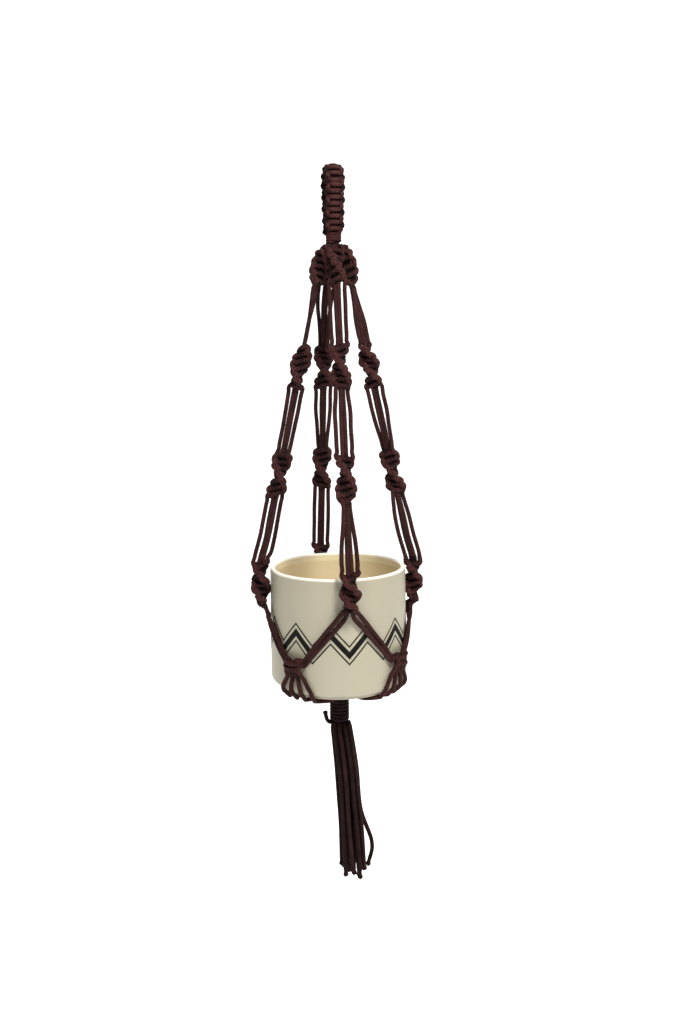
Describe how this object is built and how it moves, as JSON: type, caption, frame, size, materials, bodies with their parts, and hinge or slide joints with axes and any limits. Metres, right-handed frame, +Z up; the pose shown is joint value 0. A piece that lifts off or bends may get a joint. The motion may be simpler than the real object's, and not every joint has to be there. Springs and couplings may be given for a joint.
{
  "type": "hanging planter",
  "caption": "Straight-sided ceramic pot with a zigzag band, held in a knotted cord hanger of spiral-knot arms with a loop above and a tassel below.",
  "frame": {"origin": "the seat of the hanging loop: the inner top of its eye, where a hook carries the planter", "axes": "+Z up, -Y the front, with the front arm nearest the viewer; the loop's eye opens along X"},
  "size_m": [0.1776, 0.1781, 0.7378],
  "materials": {
    "cotton_cord": "matte",
    "glazed_ceramic": "satin"
  },
  "bodies": {
    "loop": {"hanging_loop": "cotton_cord"},
    "neck": {"neck_wrap": "cotton_cord", "neck_core": "cotton_cord"},
    "crown": {"crown_bundle": "cotton_cord"},
    "hanger": {"front_crown_sennit": "cotton_cord", "front_upper_knot": "cotton_cord", "front_middle_knot": "cotton_cord", "front_lower_knot": "cotton_cord", "front_net_knot": "cotton_cord", "right_crown_sennit": "cotton_cord", "right_upper_knot": "cotton_cord", "right_middle_knot": "cotton_cord", "right_lower_knot": "cotton_cord", "right_net_knot": "cotton_cord", "back_crown_sennit": "cotton_cord", "back_upper_knot": "cotton_cord", "back_middle_knot": "cotton_cord", "back_lower_knot": "cotton_cord", "back_net_knot": "cotton_cord", "left_crown_sennit": "cotton_cord", "left_upper_knot": "cotton_cord", "left_middle_knot": "cotton_cord", "left_lower_knot": "cotton_cord", "left_net_knot": "cotton_cord"},
    "pot": {"pot": "glazed_ceramic"},
    "base": {"base_core": "cotton_cord", "base_wrap": "cotton_cord"},
    "tassel": {"tassel_cord_01": "cotton_cord", "tassel_cord_02": "cotton_cord", "tassel_cord_03": "cotton_cord", "tassel_cord_04": "cotton_cord", "tassel_cord_05": "cotton_cord", "tassel_cord_06": "cotton_cord"},
    "tassel_cord_07": {"tassel_cord_07": "cotton_cord"},
    "tassel_cord_08": {"tassel_cord_08": "cotton_cord"},
    "tassel_cord_09": {"tassel_cord_09": "cotton_cord"},
    "tassel_cord_10": {"tassel_cord_10": "cotton_cord"},
    "tassel_cord_11": {"tassel_cord_11": "cotton_cord"},
    "tassel_cord_12": {"tassel_cord_12": "cotton_cord"},
    "tassel_cord_13": {"tassel_cord_13": "cotton_cord"},
    "tassel_cord_14": {"tassel_cord_14": "cotton_cord"},
    "tassel_cord_15": {"tassel_cord_15": "cotton_cord"},
    "tassel_cord_16": {"tassel_cord_16": "cotton_cord"}
  },
  "joints": [
    {"name": "hanger_twist", "type": "hinge", "parent": "loop", "child": "neck", "pos_m": [0, 0, -0.0605], "axis": [0, 0, 1], "range_deg": [-90, 90]},
    {"name": "hanger_swing_sideways", "type": "hinge", "parent": "neck", "child": "crown", "pos_m": [0, 0, -0.08], "axis": [0, 1, 0], "range_deg": [-12, 12]},
    {"name": "hanger_swing_front_back", "type": "hinge", "parent": "crown", "child": "hanger", "pos_m": [0, 0, -0.08], "axis": [1, 0, 0], "range_deg": [-12, 12]},
    {"name": "pot_lift", "type": "slide", "parent": "hanger", "child": "pot", "axis": [0, 0, 1], "range_m": [0, 0.007]},
    {"name": "base_swing_sideways", "type": "hinge", "parent": "hanger", "child": "base", "pos_m": [0, 0, -0.5315], "axis": [0, 1, 0], "range_deg": [-10, 10]},
    {"name": "tassel_swing_front_back", "type": "hinge", "parent": "base", "child": "tassel", "pos_m": [0, 0, -0.5703], "axis": [1, 0, 0], "range_deg": [-12, 12]},
    {"name": "tassel_cord_07_splay", "type": "hinge", "parent": "tassel", "child": "tassel_cord_07", "pos_m": [0.00912, 0, -0.5744], "axis": [0, -1, 0], "range_deg": [0, 20]},
    {"name": "tassel_cord_08_splay", "type": "hinge", "parent": "tassel", "child": "tassel_cord_08", "pos_m": [0.00738, 0.00536, -0.5744], "axis": [0.5878, -0.809, 0], "range_deg": [0, 20]},
    {"name": "tassel_cord_09_splay", "type": "hinge", "parent": "tassel", "child": "tassel_cord_09", "pos_m": [0.00282, 0.00867, -0.5744], "axis": [0.9511, -0.309, 0], "range_deg": [0, 20]},
    {"name": "tassel_cord_10_splay", "type": "hinge", "parent": "tassel", "child": "tassel_cord_10", "pos_m": [-0.00282, 0.00867, -0.5744], "axis": [0.9511, 0.309, 0], "range_deg": [0, 20]},
    {"name": "tassel_cord_11_splay", "type": "hinge", "parent": "tassel", "child": "tassel_cord_11", "pos_m": [-0.00738, 0.00536, -0.5744], "axis": [0.5878, 0.809, 0], "range_deg": [0, 20]},
    {"name": "tassel_cord_12_splay", "type": "hinge", "parent": "tassel", "child": "tassel_cord_12", "pos_m": [-0.00912, 0, -0.5744], "axis": [0, 1, 0], "range_deg": [0, 20]},
    {"name": "tassel_cord_13_splay", "type": "hinge", "parent": "tassel", "child": "tassel_cord_13", "pos_m": [-0.00738, -0.00536, -0.5744], "axis": [-0.5878, 0.809, 0], "range_deg": [0, 20]},
    {"name": "tassel_cord_14_splay", "type": "hinge", "parent": "tassel", "child": "tassel_cord_14", "pos_m": [-0.00282, -0.00867, -0.5744], "axis": [-0.9511, 0.309, 0], "range_deg": [0, 20]},
    {"name": "tassel_cord_15_splay", "type": "hinge", "parent": "tassel", "child": "tassel_cord_15", "pos_m": [0.00282, -0.00867, -0.5744], "axis": [-0.9511, -0.309, 0], "range_deg": [0, 20]},
    {"name": "tassel_cord_16_splay", "type": "hinge", "parent": "tassel", "child": "tassel_cord_16", "pos_m": [0.00738, -0.00536, -0.5744], "axis": [-0.5878, -0.809, 0], "range_deg": [0, 20]}
  ]
}
